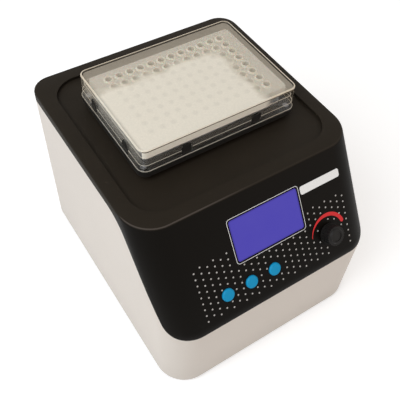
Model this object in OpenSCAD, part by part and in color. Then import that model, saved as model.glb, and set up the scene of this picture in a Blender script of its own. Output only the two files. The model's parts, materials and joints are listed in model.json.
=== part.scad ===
// Dry block heater with an orbital shaker drive, for a 96-well plate under a clear lid.
// Frame: the origin is on the table under the middle of the whole part, +X to the right,
// +Y to the back and +Z up. Lengths are in millimetres.

/* [Housing] */
// Width of the housing
body_w = 190; // [184:1:202]
// Depth of the housing
body_d = 226; // [220:1:240]
// Height from the housing's bottom edge to the deck
body_h = 151; // [149:1:158]
// Plan radius of the front corners
front_r = 25; // [20:1:32]
// Plan radius of the back corners
back_r = 16; // [13:1:20]
// Wall of the housing and of the cover
wall = 3; // [2.6:0.1:3.4]
// Height of the bottom edge above the table
foot_h = 4; // [3:0.5:6]
// Diameter of a rubber foot
foot_d = 16; // [14:1:18]

/* [Cover] */
// Height of the cover's skirt along the sides and back
skirt_h = 7.5; // [6:0.5:9]
// Radius of the deck's edge
edge_r = 1.6; // [1:0.1:2]
// Deck left at the sides and the back of its shallow recess
recess_edge = 12; // [9:0.5:15]
// Deck left in front of that recess
recess_front = 11.5; // [9:0.5:15]
// Plan radius of that recess
recess_r = 22; // [16:1:26]
// How far the recess is sunk into the deck
recess_h = 2.5; // [1.5:0.1:3]

/* [Control panel] */
// Distance from the crease back of the front face
panel_run = 49.5; // [46:0.5:52]
// Height of the panel's foot above the housing's bottom edge
panel_foot = 76; // [74:1:80]
// Radius that turns the panel into the front face
lip_r = 14; // [8:1:16]
// Height of the white front wall
front_wall_h = 73; // [70:1:74]
// Width of the display window
display_w = 60.5; // [56:0.5:64]
// Height of the display window
display_h = 33.5; // [30:0.5:36]
// Diameter of a push button
button_d = 10; // [9:0.5:11]
// Distance between neighbouring buttons
button_pitch = 21; // [19:0.5:22]
// Diameter of the knob
knob_d = 16; // [15.5:0.5:20]
// Height of the knob
knob_h = 9.5; // [8.5:0.5:12]

/* [Shaker drive] */
// Half of the orbit's diameter
orbit_r = 1.5; // [1:0.1:1.8]
// Diameter of the motor
motor_d = 62; // [54:1:68]
// Height of the motor
motor_h = 38; // [32:1:40]
// Thickness of the moving platform
platform_t = 8; // [7.5:0.5:9]
// Distance of the drive and the plate behind the housing's middle
plate_y = 26.5; // [24:0.5:28]

/* [Block and plate] */
// Distance between neighbouring wells
pitch = 9; // [8.8:0.05:9]
// Wells along the plate
columns = 12; // [8:1:12]
// Wells across the plate
rows = 8; // [6:1:8]
// Plate beyond the middles of its outer wells, to each side
plate_edge_x = 12.7; // [12:0.1:14]
// Plate beyond the middles of its outer wells, to front and back
plate_edge_y = 9; // [8.4:0.1:10]
// Height of the heating block
block_h = 19; // [18.5:0.5:20]
// Length of a well below the plate's rims
well_l = 20; // [18:0.5:20]
// Inner diameter of a well at its rim
well_d = 5.5; // [5.2:0.1:5.6]
// Wall of a well
well_t = 0.5; // [0.4:0.05:0.6]

/* [Lid and frame] */
// Gap between plate and frame, to each side
plate_gap_x = 1.3; // [1:0.1:2]
// Gap between plate and frame, to front and back
plate_gap_y = 4.2; // [3.4:0.1:5]
// Height of the lid
lid_h = 14.5; // [13.5:0.5:18]
// Wall of the lid
lid_t = 1.5; // [1.2:0.1:1.6]
// Height of the clear frame's outer wall
frame_h = 6; // [5:0.5:6.5]

/* [Rear] */
// Distance from the housing's side to the middle of the power inlet
inlet_side = 43; // [39:1:47]
// Height of the inlet and the switch above the table
inlet_z = 40; // [36:1:46]
// Distance from the inlet to the power switch
switch_pitch = 44; // [40:1:50]
// Angle through which the rocker tips
rocker_throw = 20; // [14:1:22]

/* [Fits] */
// Gap between parts that slide past each other
gap = 0.3; // [0.2:0.05:0.35]
// Radial clearance of a running shaft
run_gap = 0.03; // [0.02:0.01:0.05]

/* [Hidden] */

eps = 0.01;
arc_steps = 14;            // steps of a front corner's quarter turn
back_steps = 8;            // steps of a back corner's quarter turn
$fn = 48;

// Heights and edges of the housing
bottom_z = foot_h;
deck_z = bottom_z + body_h;
panel_foot_z = bottom_z + panel_foot;
panel_rise = deck_z - panel_foot_z;
panel_angle = atan(panel_rise / panel_run);
lean = 90 - panel_angle;   // lean of the panel from the vertical
panel_l = norm([panel_run, panel_rise]);

// Panel fittings, as [across, down the slope from the crease]: across from the housing's side or
// middle, and down as a share of the slope
display_x = 1.7;
button_side = 51.3;
knob_side = 43;
badge_side = 41.7;
display_spot = [display_x, 0.3795 * panel_l];
button_spots = [for (i = [0 : 2]) [button_side - body_w / 2 + i * button_pitch, 0.779 * panel_l]];
knob_spot = [body_w / 2 - knob_side, 0.7278 * panel_l];
badge_spot = [body_w / 2 - badge_side, 0.2404 * panel_l];
knob_z = 0.6;

// The rocker reaches past the back, and a tall knob past the front: mid_y puts the housing's middle
// where the whole part is centred over the origin
rocker_h = 17;
rocker_out = 1.6;
rocker_pivot = 3;
bezel_t = 2;
reach_front = body_d / 2 + max(0, (knob_spot[1] + knob_d / 2) * cos(panel_angle)
    + (knob_z + knob_h - 1) * sin(panel_angle) - panel_run);
reach_back = body_d / 2 + bezel_t - rocker_pivot
    + (rocker_h / 2 - 0.8) * sin(rocker_throw / 2)
    + (rocker_pivot + rocker_out + 0.4) * cos(rocker_throw / 2);
mid_y = (reach_front - reach_back) / 2;
front_y = mid_y - body_d / 2;
back_y = mid_y + body_d / 2;
crease_y = front_y + panel_run;
stack_y = mid_y + plate_y;
recess_w = body_w - 2 * recess_edge;
recess_d = body_d - panel_run - recess_front - recess_edge;
recess_y = back_y - recess_edge - recess_d / 2;
lip_z = panel_foot_z - lip_r * tan(lean / 2);
part_z = deck_z - skirt_h;
part_front_z = bottom_z + front_wall_h;
tongue_t = 1.6;
tongue_h = 4;

// The parting line between housing and cover, seen from the side
part_angle = 47.7;
part_top_y = front_y + 77.5;
part_top_r = 32;
part_low_r = 29;
part_low_y = part_top_y - (part_z - part_front_z) / tan(part_angle);

// Base, feet and the pillars that the long screws clamp
base_t = 1.5;
base_z = bottom_z + 1;
base_top_z = base_z + base_t;
base_vents = 7;
base_vent_w = 34;
base_vent_d = 3;
base_vent_pitch = 8;
base_vent_x = 40;
base_vent_y = 70;          // the rearmost vent, behind the middle
pillar_inset = 17;
pillar_d = 9;
pillar_top_z = bottom_z + 56;
screw_d = 4;
screw_head_d = 7.5;
screw_head_h = 2.4;
screw_head_z = 1.2;
screw_l = pillar_top_z + 14;
hex_d = 2.6;               // socket in a screw's head
pan_d = 7;
pan_h = 2;
corner_front = front_r - pillar_inset;
corner_back = back_r - pillar_inset;
pillar_spots = [for (side = [-1, 1]) each [
    [side * (body_w / 2 - front_r + corner_front * cos(45)), front_y + front_r - corner_front * sin(45),
     side > 0 ? -45 : 225],
    [side * (body_w / 2 - back_r + corner_back * cos(45)), back_y - back_r + corner_back * sin(45),
     side > 0 ? 45 : 135]]];

// Parts behind the panel
display_r = 2;
display_lip = 1.4;
badge_w = 37;
badge_h = 6.6;
badge_t = 0.4;
board_depth = 17;          // depth of the control board's face behind the panel
board_t = 1.6;
board_edge = 33;           // from the board to the housing's side
board_w = body_w - 2 * board_edge;
board_l = 0.734 * panel_l;
board_mid = 0.512 * panel_l;
boss_inset = 6;
boss_w = 6.5;
board_bosses = [for (p = [[-1, 0.211], [1, 0.211], [-1, 0.823]])
    [p[0] * (board_w / 2 - boss_inset), p[1] * panel_l]];
module_rim = 6;            // the display module's border
small_screw_d = 3;
small_head_d = 5.6;
small_screw_l = 10;
button_up = 1.6;           // how far a button stands out of the panel
button_travel = 0.8;
button_flange_d = button_d + 3;
button_flange_t = 1.2;
button_flange_h = -wall - gap;
plunger_d = 3;
plunger_l = 2.2;
switch_w = 6.4;
switch_h = 4;
switch_top = -board_depth + switch_h;
button_stem_d = 4.4;
button_edge = 0.8;
nut_h = 2;
nut_d = 11;
encoder_w = 13;
encoder_drop = 1;          // gap between the encoder's body and the cover
bushing_d = 7;
bushing_l = nut_h + 1.6;
shaft_d = 6;
shaft_end = 4.3;             // from the shaft's tip to the knob's top
shaft_flat = 1.6;          // from the shaft's axis to its flat
flutes = 24;
flute_d = 1.4;
knob_skirt = 0.4;
knob_skirt_h = 1.6;
knob_recess_z = bushing_l + 0.6;
knob_edge_h = 1;

// Shaker drive
crank_x = -orbit_r;
chassis_h = 84;            // height of the chassis plate over the housing's bottom edge
chassis_t = 3;
chassis_z = bottom_z + chassis_h;
chassis_top_z = chassis_z + chassis_t;
chassis_edge = 20;         // from the chassis plate to the housing's side
chassis_w = body_w - 2 * chassis_edge;
chassis_end = 51;
chassis_d = body_d - 2 * chassis_end;
chassis_r = 5;
window_w = 26;
window_d = 40;
window_r = 4;
window_x = 48;
window_y = 18;
post_d = 10;
post_inset = 9;
post_x = chassis_w / 2 - post_inset;
post_y = chassis_d / 2 - post_inset;
thread_l = 12;
post_screw_l = 14;
bearing_d = 22;
bearing_bore = 8;
bearing_w = 7;
idler_bearing_d = 19;
idler_bearing_bore = 6;
idler_bearing_w = 6;
big_bearing = [bearing_d, bearing_bore, bearing_w];
small_bearing = [idler_bearing_d, idler_bearing_bore, idler_bearing_w];
seat = 0.5;                // how deep a bearing is sunk below the face over it
motor_screw_r = 21;
motor_screw_l = 10;
motor_foot = 12;           // the can's shoulder round its lower cap
motor_foot_h = 4;
motor_rib_d = 4;
motor_end = 6;
pilot_d = 28;
pilot_h = 4;
pilot_top_z = chassis_top_z + pilot_h;
hub_d = 26;
hub_gap = 1.5;
hub_z = pilot_top_z + hub_gap;
hub_h = 11;
hub_bore = 8;
weight_r = 32;
weight_t = 7;
weight_hole_r = 22;
weight_hole_d = 4;
weight_cut = 3;
set_screw_d = 3;
boss_d = 25;
boss_h = 9;
boss_top_z = chassis_top_z + boss_h;
idler_disc_d = 18;
idler_disc_t = 5;
idler_gap = 1;
idler_disc_z = boss_top_z + idler_gap;
idler_x = 52;
idler_front = chassis_d / 2 - 28;
idler_back = chassis_d / 2 - 12;
platform_gap = 11;         // from the idlers' discs up to the platform
platform_w = 2 * idler_x + 28;
platform_front = idler_front + 18;
platform_back = idler_back + 16;
platform_r = 8;
platform_z = idler_disc_z + idler_disc_t + platform_gap;
platform_top_z = platform_z + platform_t;
idler_spots = [[-idler_x, -idler_front], [idler_x, -idler_front], [0, idler_back]];

// Heating stack, from the platform to the plate
recess_z = deck_z - recess_h;
flange_z = recess_z + 2;
flange_t = 3;
pedestal_top_z = flange_z + flange_t;
pedestal_t = 4;
pedestal_r = 6;
bore_r = 3;                // inner corners of the pedestal, the block and the tray
flange_out = 8.5;
opening_gap = orbit_r + 2.5;
heater_t = 6;
mat_t = 1;
ledge_t = 3;
ledge_w = 5;
heater_z = pedestal_top_z - heater_t;
block_z = pedestal_top_z;
block_top_z = block_z + block_h;
tray_t = 4.5;
tray_top_z = pedestal_top_z + tray_t;
tray_screw_d = 2.5;
tray_head_d = 4.6;
tray_head_h = 2;
sensor_d = 3;
sensor_l = 24;
deck_gap = 1.6;
plate_deck_t = 1.2;
plate_deck_z = block_top_z + deck_gap;
plate_top_z = plate_deck_z + plate_deck_t;
plate_w = (columns - 1) * pitch + 2 * plate_edge_x;
plate_d = (rows - 1) * pitch + 2 * plate_edge_y;
plate_r = 3;
plate_skirt_h = 3.8;
plate_skirt_t = 1.2;
block_gap = 1;             // between the block and the plate's skirt
block_w = plate_w - 2 * (plate_skirt_t + block_gap);
block_d = plate_d - 2 * (plate_skirt_t + block_gap);
tray_gap = 0.5;
rim_h = 1.2;
rim_top_z = plate_top_z + rim_h;
tip_d = 1.9;               // inner diameter at a well's closed end
tip_t = 0.8;
bore_gap = 0.25;

// Clear frame, its locating tabs and the lid
lid_lip_t = 1.3;
lid_lip_h = 6;
lid_w = plate_w + 2 * (plate_gap_x + lid_lip_t + gap + lid_t);
lid_d = plate_d + 2 * (plate_gap_y + lid_lip_t + gap + lid_t);
lid_r = 6;
lid_edge = 0.6;
lid_z = tray_top_z + frame_h;
lid_top_z = lid_z + lid_h;
flange_inset_x = 1.1;      // the flange inside the lid's outline
flange_inset_y = 1.3;
flange_w = lid_w - 2 * flange_inset_x;
flange_d = lid_d - 2 * flange_inset_y;
pedestal_w = flange_w - 2 * flange_out;
pedestal_d = flange_d - 2 * flange_out;
tray_screw_x = flange_w / 2 - 3;
tray_screw_y = flange_d / 2 - 4;
frame_rim_w = 1;
frame_rim_h = 1.2;
tab_w = 7;
tab_gap = 1;
tab_t = lid_t - 0.1;
tab_h = 3.6;               // how far a tab stands up over the lid's bottom edge
tab_top_z = lid_z + tab_h;
tab_arch_r = tab_w / 2 + tab_gap - 0.5;
tab_arch_z = tab_top_z - 1.5;   // middle of the arch over a tab
tab_spots_x = lid_w * 0.226;
tab_spots_y = lid_d / 4;

// Rear fittings
inlet_x = inlet_side - body_w / 2;
switch_x = inlet_x + switch_pitch;
inlet_w = 28;
inlet_h = 31;
inlet_flange_w = 50;
inlet_flange_t = 2;
inlet_depth = 24;
socket_w = 24;
socket_h = 16;
socket_depth = 16;
socket_z = 6;              // height of the socket's middle over the inlet's middle
pin_w = 4;
pin_t = 2;
pin_l = 11;
pin_pitch = 7;
pin_offset = 2;
inlet_screw_d = 3.2;
inlet_head_d = 5.8;
inlet_head_h = 1.3;
inlet_screw_pitch = 40;
drawer_h = 9;
drawer_z = -9;
grip_w = 10;
grip_h = 1.5;
bezel_w = 17;
bezel_h = 24;
rocker_w = 12;
rocker_hole_h = rocker_h + 2.4;
bezel_rim = 1.5;
switch_depth = 18;
rocker_barrel_d = 5.6;     // the rocker's round underside, about its pivot
vent_count = 9;
vent_pitch = 8;
vent_w = 2.6;
vent_h = 26;
vent_z = deck_z - 55;

// Boards on the base
power_board_w = body_w - 76;
power_board_d = 84;
power_board_y = mid_y + 2;
power_board_z = base_top_z + 8;
power_board_top_z = power_board_z + board_t;
standoff_d = 6;
standoff_inset = 5;
transformer_w = 44;
transformer_d = 36;
transformer_h = 26;
transformer_lam = 7;       // how far its windings stand out of the core
transformer_x = 21 - power_board_w / 2;
capacitor_d = 16;
capacitor_h = 22;
capacitor_x = power_board_w / 2 - 30;
capacitor_y = 6;

// ---- Shapes ----

// Points of an arc of n steps round c, from angle a0 to a1
function arc(c, r, a0, a1, n) = [for (i = [0 : n]) let (a = a0 + (a1 - a0) * i / n) c + r * [cos(a), sin(a)]];

// Plan outline with front corners of radius rf and back corners of radius rb
function outline(w, y0, y1, rf, rb) = concat(
    arc([w / 2 - rf, y0 + rf], rf, -90, 0, arc_steps),
    arc([w / 2 - rb, y1 - rb], rb, 0, 90, back_steps),
    arc([rb - w / 2, y1 - rb], rb, 90, 180, back_steps),
    arc([rf - w / 2, y0 + rf], rf, 180, 270, arc_steps));

// The corner v of the path a, v, b, rounded to radius r
function unit(p) = p / norm(p);
function rounded(a, v, b, r, n) = let (
    u = unit(a - v), w = unit(b - v), half = acos(u * w) / 2, c = v + unit(u + w) * r / sin(half),
    s = v + u * r / tan(half) - c, e = v + w * r / tan(half) - c,
    a0 = atan2(s.y, s.x), turn = atan2(s.x * e.y - s.y * e.x, s * e))
    arc(c, r, a0, a0 + turn, n);

function slope_y(z) = front_y + (z - panel_foot_z) * tan(lean);

// Outer skin as sections [z, inset, front edge]: the foot, the lip, and the deck's rounded edge
outer_sections = concat(
    [[bottom_z, 0, front_y]],
    [for (i = [0 : 3]) let (a = lean * i / 3) [lip_z + lip_r * sin(a), 0, front_y + lip_r * (1 - cos(a))]],
    [for (i = [0 : 3]) let (a = 30 * i, z = deck_z - edge_r * (1 - sin(a)), t = edge_r * (1 - cos(a)))
        [z, t, slope_y(z) + t]]);

// The same skin moved inwards by t, with its top at top_z
function inner_sections(t, top_z) = [
    [bottom_z - 1, t, front_y + t],
    [panel_foot_z - t * tan(lean / 2), t, front_y + t],
    [top_z, t, slope_y(top_z) + t / cos(lean)]];

// A closed body through the sections, each a ring of the same number of points
module body_form(sections) {
    n = 2 * (arc_steps + back_steps + 2);
    last = len(sections) - 1;
    rings = [for (q = sections) each [for (p = outline(body_w - 2 * q[1], q[2], back_y - q[1],
        front_r - q[1], back_r - q[1])) [p.x, p.y, q[0]]]];
    sides = [for (k = [0 : last - 1], i = [0 : n - 1]) let (j = (i + 1) % n, a = k * n, b = a + n)
        each [[a + i, b + i, b + j], [a + i, b + j, a + j]]];
    polyhedron(rings, concat([[for (i = [0 : n - 1]) i]], sides,
        [[for (i = [0 : n - 1]) last * n + n - 1 - i]]));
}

module outer_form() { body_form(outer_sections); }
module inner_form(t, top_z = deck_z - wall) { body_form(inner_sections(t, top_z)); }

// Everything above the parting line, lowered by drop
module above_parting(drop = 0) {
    far = 20;
    top_v = [part_top_y, part_z - drop];
    low_v = [part_low_y, part_front_z - drop];
    start = [back_y + far, part_z - drop];
    end = [front_y - far, part_front_z - drop];
    rotate([90, 0, 90])
        translate([0, 0, -body_w / 2 - far])
            linear_extrude(body_w + 2 * far)
                polygon(concat([start], rounded(start, top_v, low_v, part_top_r, 7),
                    rounded(top_v, low_v, end, part_low_r, 7), [end],
                    [[front_y - far, deck_z + far], [back_y + far, deck_z + far]]));
}

// The band between two heights along the parting line
module parting_band(low, high) {
    difference() {
        above_parting(low);
        above_parting(high);
    }
}

// Flat rounded rectangle with true arcs
module rrect(w, d, r) {
    square([w - 2 * r, d], center = true);
    square([w, d - 2 * r], center = true);
    for (x = [-1, 1], y = [-1, 1])
        translate([x * (w / 2 - r), y * (d / 2 - r)]) circle(r);
}

module rbox(w, d, r, z0, z1) {
    translate([0, 0, z0]) linear_extrude(z1 - z0) rrect(w, d, r);
}

module ring(d_out, d_in, h) {
    difference() {
        cylinder(d = d_out, h = h);
        translate([0, 0, -1]) cylinder(d = d_in, h = h + 2);
    }
}

// Places children on the panel: x across, y up the slope, z out of it
module on_panel(spot = [0, 0], h = 0) {
    translate([0, crease_y, deck_z]) rotate([panel_angle, 0, 0]) translate([spot[0], -spot[1], h]) children();
}

// Places children on the plate's centre line
module on_plate() { translate([0, stack_y, 0]) children(); }

// Places children at the crank's own axis
module on_crank() { translate([crank_x, stack_y, 0]) children(); }

// Places children on the rear face: x to the right as on the object, y up, z out of the back
module on_rear(x, z) { translate([x, back_y, z]) rotate([90, 0, 180]) children(); }

module at_wells() {
    for (i = [0 : columns - 1], j = [0 : rows - 1])
        translate([(i - (columns - 1) / 2) * pitch, (j - (rows - 1) / 2) * pitch, 0]) children();
}

// ---- Housing, cover and base ----

module pillars(z0, z1, d) {
    for (p = pillar_spots) translate([p[0], p[1], z0]) cylinder(d = d, h = z1 - z0);
}

module lower_housing() {
    rib_l = pillar_inset - wall / 2;
    rib_t = 2.4;
    rib_drop = 4;
    color("gainsboro") difference() {
        union() {
            difference() {
                outer_form();
                inner_form(wall);
                above_parting();
            }
            pillars(base_top_z, pillar_top_z, pillar_d);
            for (p = pillar_spots) translate([p[0], p[1], base_top_z]) rotate([0, 0, p[2]])
                translate([0, -rib_t / 2, 0]) cube([rib_l, rib_t, pillar_top_z - base_top_z - rib_drop]);
        }
        pillars(base_top_z - 1, pillar_top_z + 1, screw_d + 0.6);
        on_rear(inlet_x, inlet_z) translate([0, 0, -wall - 1])
            linear_extrude(wall + 2) rrect(inlet_w + 2 * gap, inlet_h + 2 * gap, 1.5);
        on_rear(switch_x, inlet_z) translate([0, 0, -wall - 1])
            linear_extrude(wall + 2)
                square([bezel_w - 2 * bezel_rim + 2 * gap, bezel_h - 2 * bezel_rim + 2 * gap], center = true);
        for (i = [0 : vent_count - 1])
            on_rear((i - (vent_count - 1) / 2) * vent_pitch, vent_z) translate([0, 0, -wall - 1])
                linear_extrude(wall + 2) rrect(vent_w, vent_h, vent_w / 2 - eps);
    }
}

module top_cover() {
    floor_z = recess_z - wall;
    color([0.13, 0.12, 0.11]) difference() {
        union() {
            intersection() {
                difference() {
                    outer_form();
                    inner_form(wall);
                }
                above_parting();
            }
            // tongue that drops inside the housing's wall, and the web that carries it on the skirt
            difference() {
                union() {
                    intersection() {
                        inner_form(wall + gap);
                        parting_band(tongue_h, -gap);
                    }
                    intersection() {
                        inner_form(wall - 1);
                        parting_band(-gap, -tongue_h);
                    }
                }
                inner_form(wall + gap + tongue_t, deck_z);
            }
            intersection() {
                inner_form(wall - 1, deck_z - wall / 2);
                for (p = board_bosses) on_panel(p, -board_depth) cylinder(d = boss_w, h = board_depth);
            }
            translate([0, recess_y, 0]) rbox(recess_w + 2 * wall, recess_d + 2 * wall, recess_r + wall,
                floor_z, deck_z - wall + eps);
            intersection() {
                inner_form(wall - 1, deck_z - wall / 2);
                pillars(pillar_top_z, deck_z, pillar_d);
            }
        }
        translate([0, recess_y, 0]) rbox(recess_w, recess_d, recess_r, recess_z, deck_z + 1);
        on_crank() rbox(pedestal_w + 2 * opening_gap, pedestal_d + 2 * opening_gap, pedestal_r,
            floor_z - 1, deck_z);
        pillars(pillar_top_z - 1, screw_l + 3, screw_d);
        on_panel(display_spot, -wall * 2) linear_extrude(wall * 3)
            rrect(display_w, display_h, display_r);
        for (p = button_spots) on_panel(p, -wall * 2) cylinder(d = button_d + 2 * gap, h = wall * 3);
        on_panel(knob_spot, -wall * 2) cylinder(d = bushing_d + 2 * gap, h = wall * 3);
        for (p = board_bosses) on_panel(p, -board_depth - 1)
            cylinder(d = small_screw_d, h = small_screw_l + 1);
    }
}

module base_plate() {
    color("silver") difference() {
        translate([0, 0, base_z]) linear_extrude(base_t)
            polygon(outline(body_w - 2 * (wall + gap), front_y + wall + gap, back_y - wall - gap,
                front_r - wall - gap, back_r - wall - gap));
        pillars(base_z - 1, base_top_z + 1, screw_d + 0.6);
        at_posts() translate([0, 0, base_z - 1]) cylinder(d = screw_d + 0.4, h = base_t + 2);
        for (side = [-1, 1], i = [1 : base_vents])
            translate([side * base_vent_x, mid_y + base_vent_y - i * base_vent_pitch, base_z - 1])
                linear_extrude(base_t + 2) rrect(base_vent_w, base_vent_d, base_vent_d / 2 - eps);
    }
}

module rubber_feet() {
    color([0.1, 0.1, 0.1]) for (p = pillar_spots) translate([p[0], p[1], 0])
        difference() {
            union() {
                cylinder(d1 = foot_d - 2, d2 = foot_d, h = 1);
                translate([0, 0, 1]) cylinder(d = foot_d, h = base_z - 1);
            }
            translate([0, 0, -1]) cylinder(d = screw_head_d + 0.6, h = screw_head_z + screw_head_h + 1);
            cylinder(d = screw_d + 0.2, h = base_z + 1);
        }
}

module case_screws() {
    color("dimgray") for (p = pillar_spots) translate([p[0], p[1], screw_head_z]) {
        difference() {
            cylinder(d = screw_head_d, h = screw_head_h);
            translate([0, 0, -1]) cylinder(d = hex_d, h = screw_head_h, $fn = 6);
        }
        translate([0, 0, screw_head_h])
            cylinder(d = screw_d - 2 * run_gap, h = screw_l - screw_head_z - screw_head_h);
    }
}

// ---- Control panel ----

module display_window() {
    color([0.25, 0.22, 0.75]) on_panel(display_spot) {
        translate([0, 0, -wall]) linear_extrude(wall - 0.2)
            rrect(display_w - gap, display_h - gap, display_r);
        translate([0, 0, -wall - 1]) linear_extrude(1)
            rrect(display_w + 2 * display_lip, display_h + 2 * display_lip, display_r);
    }
}

module display_module() {
    color([0.2, 0.3, 0.2]) on_panel(display_spot, -board_depth)
        linear_extrude(board_depth - wall - 1)
            square([display_w + 2 * module_rim, display_h + 2], center = true);
}

module control_board() {
    color([0.05, 0.35, 0.2]) difference() {
        on_panel([0, board_mid], -board_depth - board_t) linear_extrude(board_t)
            square([board_w, board_l], center = true);
        for (p = board_bosses) on_panel(p, -board_depth - board_t - 1)
            cylinder(d = small_screw_d + 0.2, h = board_t + 2);
    }
}

module board_screws() {
    color("dimgray") for (p = board_bosses) on_panel(p, -board_depth - board_t) {
        translate([0, 0, -pan_h]) cylinder(d = small_head_d, h = pan_h);
        cylinder(d = small_screw_d - 2 * run_gap, h = small_screw_l);
    }
}

module switch_bodies() {
    color([0.15, 0.15, 0.17]) for (p = button_spots) on_panel(p, -board_depth) difference() {
        linear_extrude(switch_h) square(switch_w, center = true);
        translate([0, 0, switch_h - button_travel - 1])
            cylinder(d = plunger_d + 2 * gap, h = button_travel + 2);
    }
}

module rotary_encoder() {
    color([0.6, 0.6, 0.62]) on_panel(knob_spot) difference() {
        union() {
            translate([0, 0, -board_depth]) linear_extrude(board_depth - wall - encoder_drop)
                square(encoder_w, center = true);
            translate([0, 0, -wall - encoder_drop])
                cylinder(d = bushing_d, h = wall + encoder_drop + bushing_l);
        }
        translate([0, 0, -board_depth + 2]) cylinder(d = shaft_d + 2 * run_gap, h = board_depth + knob_h);
    }
}

module encoder_nut() {
    color("silver") on_panel(knob_spot) difference() {
        cylinder(d = nut_d, h = nut_h, $fn = 6);
        translate([0, 0, -1]) cylinder(d = bushing_d + 0.1, h = nut_h + 2);
    }
}

// A bare plate that follows the panel round towards the corner
module badge_plate() {
    color([0.9, 0.9, 0.88]) difference() {
        intersection() {
            inner_form(-badge_t, deck_z);
            on_panel(badge_spot, -8) linear_extrude(16) rrect(badge_w, badge_h, 1.6);
        }
        outer_form();
    }
}

module push_button(i) {
    color([0.1, 0.6, 0.85]) on_panel(button_spots[i]) {
        translate([0, 0, button_flange_h])
            cylinder(d = button_d, h = button_up - button_flange_h - button_edge);
        translate([0, 0, button_up - button_edge])
            cylinder(d1 = button_d, d2 = button_d - 2 * button_edge, h = button_edge);
        translate([0, 0, button_flange_h - button_flange_t])
            cylinder(d = button_flange_d, h = button_flange_t);
        translate([0, 0, switch_top + plunger_l])
            cylinder(d = button_stem_d, h = button_flange_h - button_flange_t - switch_top - plunger_l);
    }
}

module plunger(i) {
    color([0.9, 0.85, 0.3]) on_panel(button_spots[i], switch_top - 0.6)
        cylinder(d = plunger_d, h = plunger_l + 0.6);
}

module encoder_shaft() {
    color("silver") on_panel(knob_spot, -board_depth + 2 + gap) difference() {
        cylinder(d = shaft_d, h = board_depth + knob_z + knob_h - shaft_end);
        translate([shaft_flat, -shaft_d, board_depth + knob_z + 1]) cube([shaft_d, 2 * shaft_d, knob_h]);
    }
}

module control_knob() {
    bore_top = 2 + gap + knob_z + knob_h - shaft_end;
    color([0.11, 0.11, 0.11]) on_panel(knob_spot) difference() {
        union() {
            translate([0, 0, knob_z]) cylinder(d = knob_d + 2 * knob_skirt, h = knob_skirt_h);
            translate([0, 0, knob_z + knob_skirt_h])
                cylinder(d = knob_d, h = knob_h - knob_skirt_h - knob_edge_h);
            translate([0, 0, knob_z + knob_h - knob_edge_h])
                cylinder(d1 = knob_d - 3.4, d2 = knob_d - 5, h = knob_edge_h);
        }
        for (i = [0 : flutes - 1]) rotate([0, 0, i * 360 / flutes])
            translate([knob_d / 2 + 0.2, 0, knob_z + knob_skirt_h + 1])
                cylinder(d = flute_d, h = knob_h, $fn = 16);
        translate([0, 0, knob_z + knob_h - knob_edge_h / 2]) cylinder(d = knob_d - 7.4, h = knob_edge_h);
        translate([0, 0, knob_z - 1]) cylinder(d = nut_d + 1.6, h = knob_recess_z + 1 - knob_z);
        difference() {
            cylinder(d = shaft_d + 0.04, h = bore_top);
            translate([shaft_flat + 0.02, -shaft_d, knob_recess_z + 0.8])
                cube([shaft_d, 2 * shaft_d, knob_h]);
        }
    }
}

// ---- Shaker drive ----

module at_posts() {
    for (x = [-1, 1], y = [-1, 1]) translate([x * post_x, stack_y + y * post_y, 0]) children();
}

module chassis_plate() {
    color([0.7, 0.72, 0.72]) difference() {
        on_plate() rbox(chassis_w, chassis_d, chassis_r, chassis_z, chassis_top_z);
        on_crank() translate([0, 0, chassis_z - 1]) cylinder(d = pilot_d + 0.1, h = chassis_t + 2);
        for (x = [-1, 1]) on_plate() translate([x * window_x, window_y, 0])
            rbox(window_w, window_d, window_r, chassis_z - 1, chassis_top_z + 1);
        at_posts() translate([0, 0, chassis_z - 1]) cylinder(d = screw_d + 0.4, h = chassis_t + 2);
        at_motor_screws() translate([0, 0, chassis_z - 1]) cylinder(d = screw_d + 0.4, h = chassis_t + 2);
    }
}

module chassis_posts() {
    color("silver") at_posts() difference() {
        translate([0, 0, base_top_z]) cylinder(d = post_d, h = chassis_z - base_top_z, $fn = 6);
        for (z = [base_top_z - 1, chassis_z - thread_l]) translate([0, 0, z])
            cylinder(d = screw_d, h = thread_l + 1);
    }
}

// The same screw holds a post to the base from below and the chassis plate to the post from above
module chassis_screws() {
    color("dimgray") at_posts() {
        translate([0, 0, chassis_top_z]) pan_screw(post_screw_l);
        translate([0, 0, base_z]) mirror([0, 0, 1]) pan_screw(post_screw_l - base_t);
    }
}

module pan_screw(l) {
    difference() {
        cylinder(d = pan_d, h = pan_h);
        translate([0, 0, pan_h / 2]) cylinder(d = hex_d, h = pan_h, $fn = 6);
    }
    translate([0, 0, pan_h / 4 - l]) cylinder(d = screw_d - 2 * run_gap, h = l);
}

module at_motor_screws() {
    for (a = [45 : 90 : 315]) on_crank() rotate([0, 0, a]) translate([motor_screw_r, 0, 0]) children();
}

module motor_screws() {
    color("dimgray") at_motor_screws() translate([0, 0, chassis_top_z]) pan_screw(motor_screw_l);
}

module motor() {
    can_z = chassis_z - motor_h;
    color([0.3, 0.31, 0.33]) difference() {
        on_crank() union() {
            translate([0, 0, can_z]) cylinder(d = motor_d, h = motor_h, $fn = 96);
            translate([0, 0, chassis_z - 1]) cylinder(d = pilot_d, h = pilot_top_z - chassis_z + 1);
            translate([0, 0, can_z - motor_foot_h])
                cylinder(d = motor_d - 2 * motor_foot, h = motor_foot_h + 1);
        }
        on_crank() translate([0, 0, can_z + motor_end]) cylinder(d = big_bearing[1] + 1, h = motor_h);
        on_crank() translate([0, 0, pilot_top_z - big_bearing[2]]) cylinder(d = big_bearing[0], h = motor_h);
        for (a = [15 : 30 : 345]) on_crank() rotate([0, 0, a]) translate([motor_d / 2, 0, can_z + motor_end])
            cylinder(d = motor_rib_d, h = motor_h - 2 * motor_end, $fn = 16);
        at_motor_screws() translate([0, 0, chassis_z - motor_screw_l])
            cylinder(d = screw_d, h = motor_screw_l + 1);
    }
}

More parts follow.
